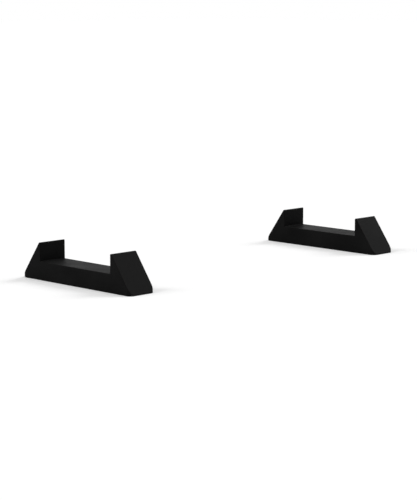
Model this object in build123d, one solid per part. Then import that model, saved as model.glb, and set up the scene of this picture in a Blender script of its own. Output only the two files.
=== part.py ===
from build123d import *
from math import atan, cos
import os

# Vertical stand made of two loose, identical feet, each one plastic moulding.
# A foot is a low cradle: a base bar lies across the floor, and a jaw stands at each end of it.
# A jaw is upright on the side of the slot and slopes on the outside, down to a toe on the floor.
# Seen from above, a foot is a rectangle with rounded corners, and its sides are upright all round.
# The underside is cored out to an even wall, with ribs between the pockets, as thick mouldings are.
#
# Frame: +Z is up and the floor is at Z = 0. X runs across the slots and Y along them, the front at -Y.
# The origin lies on the floor, midway between the feet. All sizes are in millimetres.

# Slot
held_thickness = 55.0  # that the slot is made to hold
slot_clearance = 0.3  # on each side of it

# Outside of a foot
seat_height = 10.0  # from the floor to the bottom of the slot
jaw_height = 10.2  # from the bottom of the slot to the top of the jaws
jaw_tip = 1.0  # thickness of a jaw at its top
jaw_reach = 15.2  # from the slot's wall out to the toe, along the floor
toe_height = 0.6  # upright edge between the floor and a jaw's slope
foot_length = 17.3  # along the slot
foot_spacing = 191.5  # between the middles of the two feet

# Rounded edges
toe_radius = 3.0  # of a foot's four corners, seen from above
tip_radius = 0.45  # along the top of a jaw
seat_radius = 0.3  # in the slot's two inner corners, kept inside the clearance
edge_radius = 0.35  # all round a foot's upright sides, at their top and at the floor

# Cored underside
wall = 2.2  # left all round the pockets
rim = 2.2  # flat width left at a toe, for the foot to stand on
rib = 1.4  # thickness of the ribs between the pockets
rib_setback = 0.5  # the ribs stop this far above the floor
core_tip = 1.6  # width of a jaw's pocket at its top
core_radius = 1.0  # upright corners of the pockets
seat_pockets = 3  # between the slot's two walls

# Worked out from the sizes above
slot_half = held_thickness / 2 + slot_clearance
height = seat_height + jaw_height
half_span = slot_half + jaw_reach
lean = (jaw_reach - jaw_tip) / (height - toe_height)  # inward, for each millimetre up a jaw's slope
tip_round = min(tip_radius, 0.45 * jaw_tip)  # a jaw's top has room for two
edge_round = min(edge_radius, 0.8 * tip_round)  # smaller than the rounding that it runs over
core_half_length = foot_length / 2 - wall


def mirrored_face(right_half):
    """Face in the XZ plane, from the corners of its right half."""
    left_half = [(-x, z) for x, z in reversed(right_half)]
    return make_face(Plane.XZ * Polyline(*right_half, *left_half, close=True))


def corners_at(face, z):
    """Corners of a face in the XZ plane at one height."""
    return [corner for corner in face.vertices() if abs(corner.Z - z) < 0.01]


def foot_body():
    """Outside of a foot: a rectangle with rounded corners, raised and cut off along one section."""
    section = mirrored_face(
        [
            (half_span, 0),
            (half_span, toe_height),
            (slot_half + jaw_tip, height),
            (slot_half, height),
            (slot_half, seat_height),
        ]
    )
    section = fillet(corners_at(section, height), tip_round)
    section = fillet(corners_at(section, seat_height), seat_radius)
    plan = RectangleRounded(2 * half_span, foot_length, toe_radius)
    body = extrude(section, foot_length, both=True) & extrude(plan, height)
    floor = body.faces().sort_by(Axis.Z)[:1]
    sides = body.faces().filter_by(lambda face: face not in floor and face.edges() & floor.edges())
    top = body.faces() - sides - floor
    return fillet(sides.edges() & (top + floor).edges(), edge_round)


def pocket(start, end, top):
    """Upright cutter from the floor up, from one place to another across the slot."""
    outline = RectangleRounded(end - start, 2 * core_half_length, core_radius)
    return extrude(Pos((start + end) / 2, 0) * outline, top)


def foot_core():
    """Everything that is hollow under a foot: a section with an even wall, cut up by the ribs."""
    jaw_wall = slot_half + wall
    slope_wall = half_span + lean * toe_height - wall / cos(atan(lean))
    jaw_roof = (slope_wall - jaw_wall - core_tip) / lean
    section = mirrored_face(
        [
            (slope_wall, 0),
            (jaw_wall + core_tip, jaw_roof),
            (jaw_wall, jaw_roof),
            (jaw_wall, seat_height - wall),
        ]
    )
    toe_wall = half_span - edge_round - rim
    pocket_width = (2 * slot_half - (seat_pockets - 1) * rib) / seat_pockets
    cutters = pocket(-toe_wall, toe_wall, rib_setback)
    cutters += pocket(jaw_wall, toe_wall, height)
    cutters += pocket(-toe_wall, -jaw_wall, height)
    for i in range(seat_pockets):
        start = -slot_half + i * (pocket_width + rib)
        cutters += pocket(start, start + pocket_width, height)
    return extrude(section, core_half_length, both=True) & cutters


foot = foot_body() - foot_core()

os.makedirs("parts", exist_ok=True)
for name, y in (("front_foot", -foot_spacing / 2), ("rear_foot", foot_spacing / 2)):
    export_step(Pos(0, y, 0) * foot, f"parts/{name}.step")
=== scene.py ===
from math import radians

import bpy
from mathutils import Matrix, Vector

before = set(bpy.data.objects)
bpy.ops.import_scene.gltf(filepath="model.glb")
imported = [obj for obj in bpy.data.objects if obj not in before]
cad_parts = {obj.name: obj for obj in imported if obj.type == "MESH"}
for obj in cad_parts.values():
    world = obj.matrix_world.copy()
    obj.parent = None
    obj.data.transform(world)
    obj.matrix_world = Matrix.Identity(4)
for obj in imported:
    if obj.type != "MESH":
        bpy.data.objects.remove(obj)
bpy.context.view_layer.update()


# The two feet
# Each foot is one injection moulding in black plastic, dyed right through, with no paint or coating.
# Spark erosion gave the mould, and so every face, a fine matte grain. The feet stand loose on the floor.
pellet_black = (0.0042, 0.0042, 0.0042, 1.0)
flow_black = (0.0078, 0.0078, 0.0078, 1.0)  # the dye drifts to this shade along the plastic's flow
flow_size = 0.018  # metres across a patch
flow_detail = 3
flow_reach = (0.3, 0.7)  # of the noise, stretched to the whole drift
flow_roughness = (0.46, 0.56)
plastic_ior = 1.5
plastic_shine = 0.02  # very little, so that lit faces stay black
grain_size = 0.00026
grain_depth = 0.00004
grain_detail = 2
grain_strength = 0.8

moulding = bpy.data.materials.new("black_moulding")
moulding.use_nodes = True
moulding_tree = moulding.node_tree
plastic = moulding_tree.nodes["Principled BSDF"]
plastic.inputs["IOR"].default_value = plastic_ior
plastic.inputs["Specular IOR Level"].default_value = plastic_shine
place = moulding_tree.nodes.new("ShaderNodeTexCoord")


def cloudy(size, detail):
    """Socket that drifts between 0 and 1 over the foot, in patches of about one size."""
    noise = moulding_tree.nodes.new("ShaderNodeTexNoise")
    noise.inputs["Scale"].default_value = 1 / size
    noise.inputs["Detail"].default_value = detail
    moulding_tree.links.new(place.outputs["Object"], noise.inputs["Vector"])
    return noise.outputs["Fac"]


drift = moulding_tree.nodes.new("ShaderNodeMapRange")
drift.inputs["From Min"].default_value = flow_reach[0]
drift.inputs["From Max"].default_value = flow_reach[1]
moulding_tree.links.new(cloudy(flow_size, flow_detail), drift.inputs["Value"])

shade = moulding_tree.nodes.new("ShaderNodeMix")
shade.data_type = "RGBA"
shade.inputs["A"].default_value = pellet_black
shade.inputs["B"].default_value = flow_black
moulding_tree.links.new(drift.outputs["Result"], shade.inputs["Factor"])
moulding_tree.links.new(shade.outputs["Result"], plastic.inputs["Base Color"])

roughness = moulding_tree.nodes.new("ShaderNodeMapRange")
roughness.inputs["To Min"].default_value = flow_roughness[0]
roughness.inputs["To Max"].default_value = flow_roughness[1]
moulding_tree.links.new(drift.outputs["Result"], roughness.inputs["Value"])
moulding_tree.links.new(roughness.outputs["Result"], plastic.inputs["Roughness"])

grain = moulding_tree.nodes.new("ShaderNodeBump")
grain.inputs["Strength"].default_value = grain_strength
grain.inputs["Distance"].default_value = grain_depth
moulding_tree.links.new(cloudy(grain_size, grain_detail), grain.inputs["Height"])
moulding_tree.links.new(grain.outputs["Normal"], plastic.inputs["Normal"])

for name in ("front_foot", "rear_foot"):
    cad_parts[name].material_slots[0].material = moulding


# Floor
# A plain matte white tabletop, much wider than the view, with the feet standing on it.
# It shows as pure white and keeps their shadow.
floor_side = 12.0
floor_white = (0.9, 0.9, 0.9, 1.0)
floor_roughness = 0.9
floor_shine = 0.0
floor_lift = 0.11  # glow that brings the lit floor up to white, only where it is seen
white = (1.0, 1.0, 1.0, 1.0)


def looked_at(tree):
    """Socket that is 1 where a thing is seen, straight or mirrored, and 0 where it only gives light."""
    path = tree.nodes.new("ShaderNodeLightPath")
    seen = path.outputs["Is Camera Ray"]
    for way in ("Is Glossy Ray", "Is Transmission Ray"):
        either = tree.nodes.new("ShaderNodeMath")
        either.operation = "MAXIMUM"
        tree.links.new(seen, either.inputs[0])
        tree.links.new(path.outputs[way], either.inputs[1])
        seen = either.outputs["Value"]
    return seen


bpy.ops.object.select_all(action="DESELECT")
bpy.ops.mesh.primitive_plane_add(size=floor_side)
floor = bpy.context.object
floor.name = "floor"

tabletop = bpy.data.materials.new("white_tabletop")
tabletop.use_nodes = True
tabletop_tree = tabletop.node_tree
tabletop_face = tabletop_tree.nodes["Principled BSDF"]
tabletop_face.inputs["Base Color"].default_value = floor_white
tabletop_face.inputs["Roughness"].default_value = floor_roughness
tabletop_face.inputs["Specular IOR Level"].default_value = floor_shine
tabletop_face.inputs["Emission Color"].default_value = white
lift = tabletop_tree.nodes.new("ShaderNodeMath")
lift.operation = "MULTIPLY"
lift.inputs[1].default_value = floor_lift
tabletop_tree.links.new(looked_at(tabletop_tree), lift.inputs[0])
tabletop_tree.links.new(lift.outputs["Value"], tabletop_face.inputs["Emission Strength"])
floor.data.materials.append(tabletop)


# Light
# A white room with three broad soft lights: one behind on the right, one in front on the left, one above.
# The room shows as pure white, and lights the feet less than that.
room_light = 0.33
room_seen = 1.0


def soft_light(name, origin, spread, strength):
    """Lamp as far off as the sun, with its direction from the feet and its spread in degrees."""
    lamp = bpy.data.lights.new(name, "SUN")
    lamp.angle = radians(spread)
    lamp.energy = strength
    panel = bpy.data.objects.new(name, lamp)
    panel.rotation_mode = "QUATERNION"
    panel.rotation_quaternion = (-Vector(origin)).to_track_quat("-Z", "Y")
    bpy.context.scene.collection.objects.link(panel)


soft_light("key_light", origin=(0.25, 0.75, 0.60), spread=30, strength=1.2)
soft_light("fill_light", origin=(-0.45, -0.60, 0.60), spread=30, strength=1.0)
soft_light("top_light", origin=(0.0, 0.0, 1.0), spread=40, strength=0.8)

room = bpy.data.worlds.new("white_room")
room.use_nodes = True
bpy.context.scene.world = room
room_tree = room.node_tree
air = room_tree.nodes["Background"]
air.inputs["Color"].default_value = white
level = room_tree.nodes.new("ShaderNodeMapRange")
level.inputs["To Min"].default_value = room_light
level.inputs["To Max"].default_value = room_seen
room_tree.links.new(looked_at(room_tree), level.inputs["Value"])
room_tree.links.new(level.outputs["Result"], air.inputs["Strength"])


# Camera
# It stands where the photograph was taken from, just over the floor and to the right of the front.
# A long lens brings the small feet near.
eye = Vector((0.664, -0.668, 0.152))
aim = Vector((-0.003, -0.003, 0.008))
sensor_width = 36.0
focal_length = 122.0
nearest = 0.01  # metres before the eye

lens = bpy.data.cameras.new("photo_camera")
lens.sensor_width = sensor_width
lens.lens = focal_length
lens.clip_start = nearest
camera = bpy.data.objects.new("photo_camera", lens)
camera.location = eye
camera.rotation_mode = "QUATERNION"
camera.rotation_quaternion = (aim - eye).to_track_quat("-Z", "Y")
bpy.context.scene.collection.objects.link(camera)
bpy.context.scene.camera = camera
bpy.context.scene.view_settings.view_transform = "Standard"
